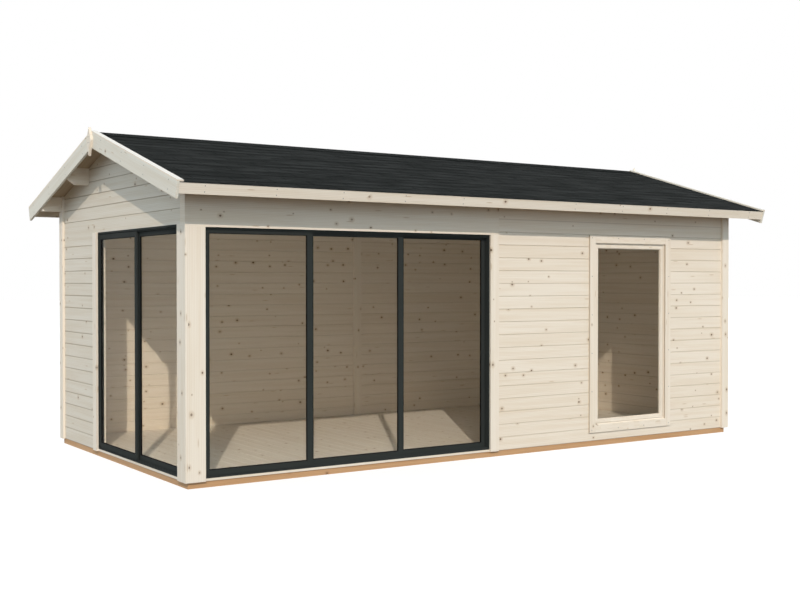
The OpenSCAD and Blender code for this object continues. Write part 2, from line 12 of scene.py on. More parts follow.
import bmesh
import bpy
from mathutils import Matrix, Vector


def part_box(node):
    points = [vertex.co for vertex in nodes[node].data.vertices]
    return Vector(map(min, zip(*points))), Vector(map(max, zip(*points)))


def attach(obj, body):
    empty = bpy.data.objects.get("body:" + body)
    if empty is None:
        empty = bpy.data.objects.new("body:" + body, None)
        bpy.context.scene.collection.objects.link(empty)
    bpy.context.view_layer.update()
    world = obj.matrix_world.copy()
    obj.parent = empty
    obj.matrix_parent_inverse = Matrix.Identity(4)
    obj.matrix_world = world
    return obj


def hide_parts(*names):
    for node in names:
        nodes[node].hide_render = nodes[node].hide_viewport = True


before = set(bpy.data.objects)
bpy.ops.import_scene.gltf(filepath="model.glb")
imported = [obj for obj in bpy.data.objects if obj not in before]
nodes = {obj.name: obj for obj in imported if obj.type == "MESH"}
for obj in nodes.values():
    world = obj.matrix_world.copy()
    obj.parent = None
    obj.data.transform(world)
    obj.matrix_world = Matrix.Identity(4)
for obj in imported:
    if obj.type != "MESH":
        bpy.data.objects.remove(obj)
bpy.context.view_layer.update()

# %% [markdown]
# ## The viewpoint
# The picture was taken by someone standing off the front left corner, with the eye at 1.55 m. A camera
# can be matched by trial, but the hut's level edges give its direction and its corner heights give its
# place, so the camera is simply set there. It looks down by less than a degree, which keeps the posts
# upright in the frame of 800 by 594 pixels.

# %% Place the camera
EYE = (-6.3595, -9.480, 1.556)
LOOK_DOWN, LOOK_RIGHT = radians(0.80), radians(33.66)
LENS_MM, SENSOR_MM = 51.74, 36

bpy.ops.object.camera_add(location=EYE, rotation=(pi / 2 - LOOK_DOWN, 0, -LOOK_RIGHT))
camera = bpy.context.object
camera.name = "garden_camera"
camera.data.lens = LENS_MM
camera.data.sensor_width = SENSOR_MM
bpy.context.scene.camera = camera
print(f"camera {LENS_MM} mm at {EYE}")

# %% [markdown]
# ## The sun
# The front is in warm sun from the left, and the eaves throw a band of shade on the top logs. An area lamp
# would blur that band, so there is one sun lamp, with a small disc that gives the shade its edge.

# %% Set the sun
SUN_TRAVEL = Vector((0.57, 1.0, -0.675))
SUN_STRENGTH = 2.10
SUN_COLOUR = (1.0, 0.89, 0.78)
SUN_DISC = radians(0.7)

bpy.ops.object.light_add(type="SUN", rotation=SUN_TRAVEL.to_track_quat("-Z", "Y").to_euler())
sun = bpy.context.object
sun.name = "afternoon_sun"
sun.data.energy = SUN_STRENGTH
sun.data.color = SUN_COLOUR
sun.data.angle = SUN_DISC
bpy.context.scene.view_settings.view_transform = "Standard"
print(f"sun of strength {SUN_STRENGTH}")

# %% [markdown]
# ## The sky
# The sky fills the shade with slightly cooler light, and is brighter towards the horizon, as a real one is,
# so that the shade under the eaves deepens upwards. It is white only to the eye: rays that the camera, a
# gloss or a pane sends out meet full white. Two small helpers write the nodes, here and in every material.

# %% Set the sky
SKY_COLOUR = (0.78, 0.92, 1.0, 1)
SKY_LOW, SKY_HIGH, SKY_TURN = 1.62, 0.52, 0.65
WHITE = (1, 1, 1, 1)


def add_node(tree, kind, inputs=None, **settings):
    """Adds a node, applies its settings, and links or sets its inputs by name or number."""
    made = tree.nodes.new(kind)
    for name, value in settings.items():
        setattr(made, name, value)
    for key, value in (inputs or {}).items():
        if isinstance(value, bpy.types.NodeSocket):
            tree.links.new(value, made.inputs[key])
        else:
            made.inputs[key].default_value = value
    return made


def calc(tree, operation, a, b=0.0, c=0.0):
    """One Math node; returns its value."""
    return add_node(tree, "ShaderNodeMath", {0: a, 1: b, 2: c}, operation=operation).outputs[0]


def seen_rays(tree):
    """A mask of the rays that show the background: from the camera, off a gloss, through a pane."""
    path = add_node(tree, "ShaderNodeLightPath").outputs
    either = calc(tree, "MAXIMUM", path["Is Camera Ray"], path["Is Glossy Ray"])
    return calc(tree, "MAXIMUM", either, path["Is Transmission Ray"])


world = bpy.data.worlds.new("even_sky")
bpy.context.scene.world = world
world.use_nodes = True
sky_tree = world.node_tree
sky_tree.nodes.clear()
upness = add_node(sky_tree, "ShaderNodeSeparateXYZ", {
    0: add_node(sky_tree, "ShaderNodeTexCoord").outputs["Generated"]}).outputs[2]
fall = add_node(sky_tree, "ShaderNodeMapRange", {0: upness, 1: 0.0, 2: SKY_TURN, 3: SKY_LOW, 4: SKY_HIGH})
soft_sky = add_node(sky_tree, "ShaderNodeBackground", {"Color": SKY_COLOUR, "Strength": fall.outputs[0]})
white_sky = add_node(sky_tree, "ShaderNodeBackground", {"Color": WHITE, "Strength": 1.0})
sky_mix = add_node(sky_tree, "ShaderNodeMixShader", {
    0: seen_rays(sky_tree), 1: soft_sky.outputs[0], 2: white_sky.outputs[0]})
add_node(sky_tree, "ShaderNodeOutputWorld", {0: sky_mix.outputs[0]})
print(f"sky from {SKY_LOW} at the horizon to {SKY_HIGH} overhead")

# %% [markdown]
# ## The white floor
# The hut stands on nothing but white paper. A plane would turn grey under this light, so its
# surface glows a little for the rays that see the background, and keeps a pale shadow of the hut.
# For all other rays it is dull warm ground that throws a little light up under the eaves.

# %% Lay the floor
FLOOR_SIZE = 160.0
GROUND_WARM = (0.150, 0.120, 0.092, 1)
PAPER_GREY = (0.36, 0.36, 0.36, 1)
PAPER_GLOW = 0.74


def deselect_all():
    """Back to object mode, with nothing selected."""
    if bpy.context.object and bpy.context.object.mode != "OBJECT":
        bpy.ops.object.mode_set(mode="OBJECT")
    bpy.ops.object.select_all(action="DESELECT")


def mix_colour(tree, factor, a, b):
    """One colour Mix node; returns its colour."""
    made = add_node(tree, "ShaderNodeMix", {0: factor, 6: a, 7: b}, data_type="RGBA", clamp_factor=True)
    return made.outputs[2]


def new_material(name):
    """A material with an empty tree; returns both."""
    made = bpy.data.materials.new(name)
    made.use_nodes = True
    made.node_tree.nodes.clear()
    return made, made.node_tree


def finish_material(tree, **sockets):
    """Adds the Principled shader with these sockets (spaces as underscores) and the output."""
    named = {name.replace("_", " "): value for name, value in sockets.items()}
    shader = add_node(tree, "ShaderNodeBsdfPrincipled", named)
    add_node(tree, "ShaderNodeOutputMaterial", {0: shader.outputs[0]})


deselect_all()
bpy.ops.mesh.primitive_plane_add(size=FLOOR_SIZE)
ground = bpy.context.object
ground.name = "studio_floor"
paper, paper_tree = new_material("studio_paper")
seen = seen_rays(paper_tree)
finish_material(paper_tree, Base_Color=mix_colour(paper_tree, seen, GROUND_WARM, PAPER_GREY), Roughness=1.0,
                Emission_Color=WHITE, Emission_Strength=calc(paper_tree, "MULTIPLY", seen, PAPER_GLOW))
ground.data.materials.append(paper)
print(f"floor of {FLOOR_SIZE} m laid")

# %% [markdown]
# ## Spruce: one recipe for every board
# Untreated spruce is pale cream, with soft streaks along the grain, growth rings that show as fine honey
# lines, small dark knots with a brown halo, and here and there a short resin dash. All wooden pieces share
# it, so it is a node group. It is told how far a point lies along and across the board and which board it
# is, so the grain can follow each log, post or rafter. The board's number throws the dice for its tint and
# for a shift of the pattern, and so every board gets its own figure.

# %% Start the wood group
FLOAT, COLOUR = "NodeSocketFloat", "NodeSocketColor"
BOARD_SHIFT = 40.0


def new_group(name, inputs, outputs):
    """An empty shader node group with these sockets, given as {name: kind}; returns it and its inputs."""
    group = bpy.data.node_groups.new(name, "ShaderNodeTree")
    for way, sockets in (("INPUT", inputs), ("OUTPUT", outputs)):
        for socket_name, kind in sockets.items():
            group.interface.new_socket(socket_name, in_out=way, socket_type=kind)
    return group, group.nodes.new("NodeGroupInput").outputs


wood, given = new_group(
    "sawn_wood",
    {"Along": FLOAT, "Across": FLOAT, "Board": FLOAT, "Pale": COLOUR, "Honey": COLOUR, "Ring": COLOUR,
     "Knot": COLOUR, "Knot share": FLOAT, "Tint spread": FLOAT},
    {"Colour": COLOUR, "Roughness": FLOAT, "Height": FLOAT})
board_noise = add_node(wood, "ShaderNodeTexWhiteNoise", {"W": given["Board"]}, noise_dimensions="1D")
board_dice = add_node(wood, "ShaderNodeSeparateColor", {0: board_noise.outputs["Color"]}).outputs
shifted_along = calc(wood, "MULTIPLY_ADD", board_dice[0], BOARD_SHIFT, given["Along"])
shifted_across = calc(wood, "MULTIPLY_ADD", board_dice[1], BOARD_SHIFT, given["Across"])
tint = board_dice[2]
print(f"wood group with {len(given) - 1} inputs")

# %% [markdown]
# ## Grain
# Streaks and fibres are noise, and rings are a distorted wave, all drawn out along the board. Pictures of
# wood would repeat from board to board, so every figure is worked out from the board's own coordinates. Each
# has a scale along the grain and a far larger one across it.

# %% Draw the grain
STREAKS, FIBRES, RINGS = (0.9, 26.0), (7.0, 520.0), (0.55, 24.0)


def map_range(tree, value, low, high, to_low=0.0, to_high=1.0, kind="SMOOTHSTEP"):
    """One Map Range node, a smooth step unless told otherwise; returns its value."""
    made = add_node(tree, "ShaderNodeMapRange", {0: value, 1: low, 2: high, 3: to_low, 4: to_high},
                    interpolation_type=kind)
    return made.outputs[0]


def stretched(along_scale, across_scale):
    """The board's coordinates, drawn out along the grain."""
    return add_node(wood, "ShaderNodeCombineXYZ", {
        0: calc(wood, "MULTIPLY", shifted_along, along_scale),
        1: calc(wood, "MULTIPLY", shifted_across, across_scale)}).outputs[0]


def grain_noise(scales, detail):
    """A noise drawn out along the grain."""
    return add_node(wood, "ShaderNodeTexNoise", {"Vector": stretched(*scales), "Scale": 1.0, "Detail": detail,
                    "Roughness": 0.55}, noise_dimensions="2D").outputs[0]


streak = grain_noise(STREAKS, 4.0)
fibre = grain_noise(FIBRES, 2.0)
rings = add_node(wood, "ShaderNodeTexWave", {"Vector": stretched(*RINGS), "Scale": 1.0, "Distortion": 7.0,
                 "Detail": 2.0, "Detail Scale": 0.45, "Detail Roughness": 0.5}, wave_type="BANDS",
                 bands_direction="Y", wave_profile="SAW").outputs["Fac"]
ring_line = map_range(wood, rings, 0.62, 1.0)
print(f"grain drawn, {len(wood.nodes)} nodes so far")

# %% [markdown]
# ## Knots and resin dashes
# A knot is a dark spot with a brown halo. Voronoi cells scatter them evenly: each cell throws dice for
# whether it has a knot, how large and how dark it is. The dashes are scattered the same way, in cells drawn
# out along the grain, of which only a few have one.

# %% Scatter knots and dashes
KNOT_CELLS, DASH_CELLS = (5.2, 6.5), (3.6, 26.0)
KNOT_SMALL, KNOT_LARGE, KNOT_FAINT = 0.022, 0.070, 0.45
CORE_REACH, HALO_REACH = 0.6, 3.2
DASH_REACH, DASH_CORE, DASH_SHARE = 0.17, 0.05, 0.06


def scattered(scales):
    """Cells drawn out along the grain; returns the distance to a cell's middle, and the cell's dice."""
    cells = add_node(wood, "ShaderNodeTexVoronoi", {"Vector": stretched(*scales), "Scale": 1.0},
                     voronoi_dimensions="2D").outputs
    return cells["Distance"], add_node(wood, "ShaderNodeSeparateColor", {0: cells["Color"]}).outputs


knot_reach, knot_dice = scattered(KNOT_CELLS)
has_knot = calc(wood, "LESS_THAN", knot_dice[0], given["Knot share"])
knot_size = map_range(wood, knot_dice[1], 0.0, 1.0, KNOT_SMALL, KNOT_LARGE, "LINEAR")
knot_dark = map_range(wood, knot_dice[2], 0.0, 1.0, KNOT_FAINT, 1.0, "LINEAR")
knot_core = map_range(wood, knot_reach, knot_size, calc(wood, "MULTIPLY", knot_size, CORE_REACH))
knot_core = calc(wood, "MULTIPLY", knot_core, has_knot)
knot_halo = map_range(wood, knot_reach, calc(wood, "MULTIPLY", knot_size, HALO_REACH), knot_size)
knot_halo = calc(wood, "MULTIPLY", knot_halo, has_knot)

dash_reach, dash_dice = scattered(DASH_CELLS)
dash = map_range(wood, dash_reach, DASH_REACH, DASH_CORE)
dash = calc(wood, "MULTIPLY", dash, calc(wood, "LESS_THAN", dash_dice[0], DASH_SHARE))
print(f"knots and dashes scattered, {len(wood.nodes)} nodes so far")

# %% [markdown]
# ## The wood's colour
# Paint is laid as a painter would: pale wood first, honey where a streak or the board's own tint asks for
# it, ring brown thinly over rings, fibres, dashes and halos, and the dark knots last. The same masks raise
# the fibres and knots a little, and make the honey streaks rougher.

# %% Mix the wood's colour
HONEY_SHARE = 0.5
RING_SHARES = ((ring_line, 0.22), (fibre, 0.10), (dash, 0.55), (knot_halo, 0.42))

honeyed = map_range(wood, streak, 0.34, 0.72)
honeyed = calc(wood, "ADD", honeyed, calc(wood, "MULTIPLY", tint, given["Tint spread"]))
colour = mix_colour(wood, calc(wood, "MULTIPLY", honeyed, HONEY_SHARE), given["Pale"], given["Honey"])
for mask, share in RING_SHARES:
    colour = mix_colour(wood, calc(wood, "MULTIPLY", mask, share), colour, given["Ring"])
colour = mix_colour(wood, calc(wood, "MULTIPLY", knot_core, knot_dark), colour, given["Knot"])

height = calc(wood, "MULTIPLY_ADD", ring_line, -0.35, calc(wood, "MULTIPLY", fibre, 0.5))
height = calc(wood, "MULTIPLY_ADD", knot_core, 0.3, height)
roughness = map_range(wood, streak, 0.2, 0.8, 0.52, 0.68, "LINEAR")
add_node(wood, "NodeGroupOutput", {0: colour, 1: roughness, 2: height})
print(f"wood group with {len(wood.nodes)} nodes")

# %% [markdown]
# ## The hut's woods
# The logs are rough spruce with many knots. In the left gable they are greyer and a little darker, which is
# painted shade, and the bargeboards get the same. The trim is planed and has few knots, the posts and the
# floor are the palest, the roof boards carry painted shade and are darker, and the beams on the ground are
# treated brown. Each wood is a set of values for the group, mostly written as what differs from another.

# %% Name the woods
SPRUCE = {"Pale": (0.885, 0.810, 0.710, 1), "Honey": (0.785, 0.680, 0.545, 1),
          "Ring": (0.530, 0.385, 0.240, 1), "Knot": (0.105, 0.050, 0.022, 1),
          "Knot share": 0.44, "Tint spread": 0.45}
# Painted shade: a greyer, darker spruce for the left gable's logs and lintel.
SHADED_SPRUCE = {**SPRUCE, "Pale": (0.790, 0.740, 0.655, 1), "Honey": (0.700, 0.620, 0.505, 1),
               "Knot share": 0.28}
POST = {**SPRUCE, "Pale": (0.900, 0.832, 0.740, 1), "Honey": (0.815, 0.720, 0.595, 1), "Knot share": 0.60}
PLANED = {**SPRUCE, "Knot share": 0.16, "Tint spread": 0.2}
# Painted shade: a greyer, darker planed wood for the bargeboards.
SHADED_BARGE = {**PLANED, "Pale": (0.805, 0.782, 0.710, 1), "Honey": (0.715, 0.655, 0.545, 1)}
FLOORING = {**PLANED, "Pale": (0.905, 0.865, 0.800, 1), "Honey": (0.790, 0.715, 0.615, 1),
            "Knot share": 0.45, "Tint spread": 0.5}
# Painted shade: the roof boards, seen from under the eaves, are made much darker.
SHADED_SOFFIT = {**PLANED, "Pale": (0.440, 0.338, 0.230, 1), "Honey": (0.370, 0.272, 0.170, 1)}
TREATED = {"Pale": (0.620, 0.380, 0.200, 1), "Honey": (0.480, 0.260, 0.120, 1),
           "Ring": (0.300, 0.140, 0.060, 1), "Knot": (0.055, 0.024, 0.011, 1),
           "Knot share": 0.38, "Tint spread": 0.35}
# A painted highlight for the verge strips' top faces.
PAINTED_TOP_LIGHT = (0.89, 0.85, 0.80, 1)
# Painted shade with some dust: the brown laid in the log grooves and on the casing's sides.
SHADE_AND_DUST_BROWN = (0.300, 0.225, 0.150, 1)
print("woods named")

# %% [markdown]
# ## The way the grain runs
# A log lies along X in the front and back walls and along Y in the gables. A post stands, a roof board or
# bargeboard runs down the slope, and round the window the grain follows each board. Each way gets its own
# small set of coordinates, taken from Object coordinates because every piece sits at the origin. The board's
# number comes from its place too: for a log it is the course, 114 mm high, so the tint changes from log to
# log, and for a post its cell in a coarse grid. Large steps keep the numbers of unlike boards apart.

# %% Measure the grain's way
FIRST_LOG, LOG_PITCH = 0.115, 0.114
LOG_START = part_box("front_wall_base")[0].z + FIRST_LOG - LOG_PITCH
ROOF_BOARD, FLOOR_BOARD, CASING_W = 0.096, 0.112, 0.072
GRID_X, GRID_Y, BEAM_START, GRID_STEP = 0.21, 0.17, 0.21, 0.45
GRID_ROW, OTHER_SIDE, GABLE_LOGS, BEAMS, CROSS_BEAMS, RAILS = 7.0, 37.0, 91.0, 57.0, 71.0, 31.0

deck_low, deck_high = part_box("roof_deck")
floor_low, floor_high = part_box("floor")
casing_low, casing_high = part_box("window_casing")
pane_low, pane_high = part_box("window_glass")
front_slope = max((f for f in nodes["roof_felt"].data.polygons if f.normal.z > 0 > f.normal.y),
                  key=lambda f: f.area).normal
ROOF_PITCH = atan2(-front_slope.y, front_slope.z)


def split_place(tree):
    """Object coordinates, split, with the distance down and above the roof slope."""
    x, y, z = add_node(tree, "ShaderNodeSeparateXYZ", {
        0: add_node(tree, "ShaderNodeTexCoord").outputs["Object"]}).outputs
    out = calc(tree, "ABSOLUTE", y)
    down = calc(tree, "SUBTRACT", calc(tree, "MULTIPLY", out, cos(ROOF_PITCH)),
                calc(tree, "MULTIPLY", z, sin(ROOF_PITCH)))
    above = calc(tree, "ADD", calc(tree, "MULTIPLY", out, sin(ROOF_PITCH)),
                 calc(tree, "MULTIPLY", z, cos(ROOF_PITCH)))
    return x, y, z, down, above


def step_number(tree, value, start, pitch):
    """Which board of this pitch a point lies in."""
    return calc(tree, "FLOOR", calc(tree, "DIVIDE", calc(tree, "SUBTRACT", value, start), pitch))


def side_number(tree, value):
    """A large step from one side of the hut to the other, so facing walls differ."""
    return calc(tree, "MULTIPLY", calc(tree, "GREATER_THAN", value, 0.0), OTHER_SIDE)


def between(tree, value, low, high):
    """1 where a value lies between two others, and 0 elsewhere."""
    above_low, below_high = calc(tree, "GREATER_THAN", value, low), calc(tree, "LESS_THAN", value, high)
    return calc(tree, "MULTIPLY", above_low, below_high)


def level_board(tree, x, z):
    """1 in the boards and rails over and under the window's pane, and 0 in the upright ones."""
    beside_pane = between(tree, z, pane_low.z, pane_high.z)
    inside = between(tree, x, casing_low.x + CASING_W, casing_high.x - CASING_W)
    return calc(tree, "MULTIPLY", inside, calc(tree, "SUBTRACT", 1.0, beside_pane))


print(f"roof pitch {ROOF_PITCH / radians(1):.1f} degrees, logs from {LOG_START:.3f} m up")

# %% [markdown]
# ## Following the grain
# One function turns the name of a way into the three values that the wood group asks for. The group could
# choose the way itself, but a choice made outside keeps it the same for every board.

# %% Follow the grain
def follow_grain(tree, way):
    """How far a point lies along and across the grain, and the number of its board."""
    x, y, z, down, above = split_place(tree)
    course = step_number(tree, z, LOG_START, LOG_PITCH)
    if way == "log_x":
        return x, z, calc(tree, "ADD", course, side_number(tree, y))
    if way == "log_y":
        return y, z, calc(tree, "ADD", course, calc(tree, "ADD", side_number(tree, x), GABLE_LOGS))
    if way == "beam_x":
        return x, z, calc(tree, "ADD", step_number(tree, y, BEAM_START, GRID_STEP), BEAMS)
    if way == "beam_y":
        return y, z, calc(tree, "ADD", side_number(tree, x), CROSS_BEAMS)
    if way == "upright":
        row = step_number(tree, y, GRID_Y, GRID_STEP)
        return z, calc(tree, "ADD", x, y), calc(tree, "MULTIPLY_ADD", step_number(tree, x, GRID_X, GRID_STEP),
                                                GRID_ROW, row)
    if way == "round_window":
        level, upright = level_board(tree, x, z), calc(tree, "ADD", x, y)
        along = calc(tree, "MULTIPLY_ADD", level, calc(tree, "SUBTRACT", x, z), z)
        across = calc(tree, "MULTIPLY_ADD", level, calc(tree, "SUBTRACT", z, upright), upright)
        board = step_number(tree, x, casing_low.x, CASING_W)
        return along, across, calc(tree, "MULTIPLY_ADD", level, RAILS, board)
    if way == "down_slope":
        return down, above, calc(tree, "ADD", side_number(tree, x), side_number(tree, y))
    if way == "roof_boards":
        board = step_number(tree, x, deck_low.x, ROOF_BOARD)
        return down, x, calc(tree, "ADD", board, side_number(tree, y))
    return y, x, step_number(tree, x, floor_low.x, FLOOR_BOARD)


print("grain ways ready")

# %% [markdown]
# ## Wood materials
# A wood material is the group, told its way and its wood, under a shader with a fine bump. Three things come
# on top. Dust gathers in the grooves between the log courses, and shade is painted there too, so log walls
# are darker there. The casing's side faces, which face along X, get painted shade and are darker than its
# face. The verge strips get a painted highlight: their top faces are paler.

# %% Make the wood materials
JOINT_HALF = 0.0060
FACING_UP, FACING_SIDE = (0.80, 0.95), (0.6, 0.9)
GRAIN_BUMP, GRAIN_DEPTH, WOOD_GLOSS = 0.25, 0.0012, 0.32


def joint_shade(tree):
    """A mask of the grooves between the log courses, where painted shade and dust go."""
    z = split_place(tree)[2]
    place = calc(tree, "DIVIDE", calc(tree, "SUBTRACT", z, LOG_START), LOG_PITCH)
    from_joint = calc(tree, "MULTIPLY", calc(tree, "PINGPONG", place, 0.5), LOG_PITCH)
    return map_range(tree, from_joint, JOINT_HALF, JOINT_HALF / 3)


def wood_material(name, way, finish, top=None, joint=0.0, edge=0.0):
    """A wood with its grain one way; its top may get a painted highlight, its joints painted shade and dust,
    its X sides painted shade, by a share.
    """
    material, tree = new_material(name)
    along, across, board = follow_grain(tree, way)
    board_wood = add_node(tree, "ShaderNodeGroup", node_tree=wood)
    for key, value in {"Along": along, "Across": across, "Board": board}.items():
        tree.links.new(value, board_wood.inputs[key])
    for key, value in finish.items():
        board_wood.inputs[key].default_value = value
    relief = add_node(tree, "ShaderNodeBump", {"Height": board_wood.outputs["Height"], "Strength": GRAIN_BUMP,
                      "Distance": GRAIN_DEPTH})
    surface = board_wood.outputs["Colour"]
    facing = add_node(tree, "ShaderNodeNewGeometry").outputs["Normal"]
    sideways, _, upward = add_node(tree, "ShaderNodeSeparateXYZ", {0: facing}).outputs
    # Painted shade and dust in the grooves between the log courses.
    if joint:
        shade_and_dust = calc(tree, "MULTIPLY", joint_shade(tree), joint)
        surface = mix_colour(tree, shade_and_dust, surface, SHADE_AND_DUST_BROWN)
    # Painted shade on the faces that point along X.
    if edge:
        painted_side_shade = map_range(tree, calc(tree, "ABSOLUTE", sideways), *FACING_SIDE, 0.0, edge)
        surface = mix_colour(tree, painted_side_shade, surface, SHADE_AND_DUST_BROWN)
    # A painted highlight on faces that point up.
    if top:
        surface = mix_colour(tree, map_range(tree, upward, *FACING_UP), surface, top)
    finish_material(tree, Base_Color=surface, Roughness=board_wood.outputs["Roughness"],
                    Normal=relief.outputs[0], Specular_IOR_Level=WOOD_GLOSS)
    return material


# The joint shares set how much painted shade and dust each log wall gets in its grooves.
spruce_log_x = wood_material("spruce_log_front", "log_x", SPRUCE, joint=0.26)
spruce_log_y = wood_material("spruce_log_gable", "log_y", SHADED_SPRUCE, joint=0.56)
spruce_log_back = wood_material("spruce_log_back", "log_x", SPRUCE, joint=0.12)
spruce_log_far = wood_material("spruce_log_far_gable", "log_y", SPRUCE, joint=0.20)
spruce_beam_x = wood_material("spruce_beam_front", "beam_x", SPRUCE)
spruce_beam_y = wood_material("spruce_beam_gable", "beam_y", SHADED_SPRUCE)
spruce_upright = wood_material("spruce_post", "upright", POST)
planed_x = wood_material("planed_spruce_level", "beam_x", PLANED)
planed_slope = wood_material("planed_spruce_rafter", "down_slope", SHADED_BARGE)
planed_upright = wood_material("planed_spruce_upright", "upright", PLANED)
# The casing's X-facing sides get painted shade.
planed_casing = wood_material("planed_spruce_casing", "round_window", PLANED, edge=0.55)
planed_window = wood_material("planed_spruce_window", "round_window", PLANED)
# The verge strips get a painted highlight on top.
planed_strip = wood_material("planed_spruce_verge", "down_slope", PLANED, top=PAINTED_TOP_LIGHT)
roof_boarding = wood_material("planed_roof_boards", "roof_boards", SHADED_SOFFIT)
floor_boarding = wood_material("planed_floor_boards", "floor_boards", FLOORING)
treated_x = wood_material("treated_timber_front", "beam_x", TREATED)
treated_y = wood_material("treated_timber_side", "beam_y", TREATED)
print(f"{len(bpy.data.materials)} materials so far")

# %% [markdown]
# ## Powder-coated aluminium, seals and glass
# The sliding doors are aluminium with a matt anthracite powder coat: almost black, with the faint orange
# peel that baked powder has. The seals are black rubber. The panes are clear glass, a pane 6 mm thick with
# two faces. Sunlight reaches the floor through them, so rays that only ask for shadow pass straight through.

# %% Make the door materials
CLOUD_SCALE, PEEL_SCALE, PEEL_DEPTH = 3.0, 900.0, 0.0004
COAT_GLOSS, PANE_IOR = 0.015, 1.05
CLOUD_SHADE = 0.8
SMOOTHER, ROUGHER = -0.05, 0.07


def place_noise(tree, vector, scale, detail):
    """A noise over the piece."""
    made = add_node(tree, "ShaderNodeTexNoise", {"Vector": vector, "Scale": scale, "Detail": detail})
    return made.outputs[0]


def powder_coat(name, colour, roughness):
    """A baked powder coat: even colour with slight clouds, fine orange peel."""
    material, tree = new_material(name)
    place = add_node(tree, "ShaderNodeTexCoord").outputs["Object"]
    cloud = place_noise(tree, place, CLOUD_SCALE, 3.0)
    peel = place_noise(tree, place, PEEL_SCALE, 2.0)
    darker = tuple(c * CLOUD_SHADE for c in colour[:3]) + (1,)
    relief = add_node(tree, "ShaderNodeBump", {"Height": peel, "Strength": 0.12, "Distance": PEEL_DEPTH})
    uneven = map_range(tree, cloud, 0.3, 0.7, roughness + SMOOTHER, roughness + ROUGHER)
    finish_material(tree, Base_Color=mix_colour(tree, cloud, colour, darker), Normal=relief.outputs[0],
                    Specular_IOR_Level=COAT_GLOSS, Roughness=uneven)
    return material


def clear_glass(name, tint, sunlit):
    """A faintly toned pane that lets sunlight through."""
    material, tree = new_material(name)
    pane = add_node(tree, "ShaderNodeBsdfPrincipled", {"Base Color": tint, "Roughness": 0.0, "IOR": PANE_IOR,
                    "Transmission Weight": 1.0})
    clear = add_node(tree, "ShaderNodeBsdfTransparent", {"Color": sunlit})
    shadow = add_node(tree, "ShaderNodeLightPath").outputs["Is Shadow Ray"]
    either = add_node(tree, "ShaderNodeMixShader", {0: shadow, 1: pane.outputs[0], 2: clear.outputs[0]})
    add_node(tree, "ShaderNodeOutputMaterial", {0: either.outputs[0]})
    return material


anthracite = powder_coat("anthracite_powder_coat", (0.0380, 0.0432, 0.0420, 1), 0.58)
rubber = powder_coat("black_rubber_seal", (0.012, 0.012, 0.013, 1), 0.62)
glass = clear_glass("clear_pane", (0.722, 0.736, 0.718, 1), (0.97, 0.96, 0.94, 1))
print(f"{len(bpy.data.materials)} materials so far")

# %% [markdown]
# ## Roofing
# The roof is charcoal roofing with mineral granules. From a distance it is nearly black, with faint
# paler streaks along the courses where granules lie thinner. The granules are a fine noise, and the streaks a
# coarser noise drawn out along X.

# %% Make the roofing material
STREAK_STRETCH = (2.4, 15.0, 1.0)
STREAK_SHARE, GRIT_SHARE = 0.75, 0.25
GRIT_SCALE, GRIT_DEPTH = 700.0, 0.0012


def roofing_material(name, dark, pale):
    """Charcoal mineral roofing, streaked along its courses."""
    material, tree = new_material(name)
    x, _, _, down, above = split_place(tree)
    place = add_node(tree, "ShaderNodeCombineXYZ", {0: x, 1: down, 2: above}).outputs[0]
    drawn = add_node(tree, "ShaderNodeMapping", {"Vector": place, "Scale": STREAK_STRETCH}).outputs[0]
    streaks = place_noise(tree, drawn, 1.0, 5.0)
    grit = place_noise(tree, place, GRIT_SCALE, 2.0)
    mixed = calc(tree, "MULTIPLY", map_range(tree, streaks, 0.38, 0.72), STREAK_SHARE)
    mixed = calc(tree, "MULTIPLY_ADD", map_range(tree, grit, 0.45, 0.70), GRIT_SHARE, mixed)
    relief = add_node(tree, "ShaderNodeBump", {"Height": grit, "Strength": 0.5, "Distance": GRIT_DEPTH})
    finish_material(tree, Base_Color=mix_colour(tree, mixed, dark, pale), Roughness=0.9,
                    Normal=relief.outputs[0], Specular_IOR_Level=0.06)
    return material


roofing = roofing_material("charcoal_roofing", (0.0055, 0.0075, 0.0075, 1), (0.028, 0.031, 0.031, 1))
print(f"{len(bpy.data.materials)} materials so far")

# %% [markdown]
# ## Give every node its finish
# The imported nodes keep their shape, so each only needs the right material: logs by their direction, posts
# upright, roof trim down the slope, frames in anthracite, panes in glass. One table says which.

# %% Assign the finishes
FINISHES = {
    spruce_log_x: ["front_wall_base", "front_wall_panels", "front_wall_top"],
    spruce_log_back: ["back_wall"],
    spruce_log_y: ["left_wall", "left_gable"],
    spruce_log_far: ["right_wall", "right_gable"],
    spruce_beam_x: ["front_header", "wall_plates", "purlins"],
    spruce_beam_y: ["left_lintel"],
    spruce_upright: ["corner_post_front_left", "corner_posts", "wall_posts"],
    planed_x: ["fascias", "thresholds"],
    planed_slope: ["bargeboards"],
    planed_strip: ["verge_strips"],
    planed_upright: ["finials"],
    planed_casing: ["window_casing"],
    planed_window: ["window_frame", "window_sash"],
    roof_boarding: ["roof_deck"],
    floor_boarding: ["floor"],
    treated_x: ["foundation_beams"],
    treated_y: ["foundation_joists"],
    roofing: ["roof_felt", "ridge_cap"],
    anthracite: [n for n in nodes if "door_" in n or ("_leaf_" in n and not n.endswith("_glass"))],
    glass: [n for n in nodes if n.endswith("_glass")],
}
for material, names in FINISHES.items():
    for name in names:
        nodes[name].data.materials.clear()
        nodes[name].data.materials.append(material)
unfinished = set(nodes) - {name for names in FINISHES.values() for name in names}
print(f"nodes without a finish: {sorted(unfinished)}")

# %% [markdown]
# ## Tools for shaping
# The new pieces are shaped as by hand: a block is added at its size, some of its edges or points are picked
# by their place and bevelled or moved, and Array and Mirror modifiers repeat it. In a script, the picking is
# the hard part, so it has a function of its own. The last function hands a finished piece over.

# %% Define the shaping tools
NEARLY = 1e-5


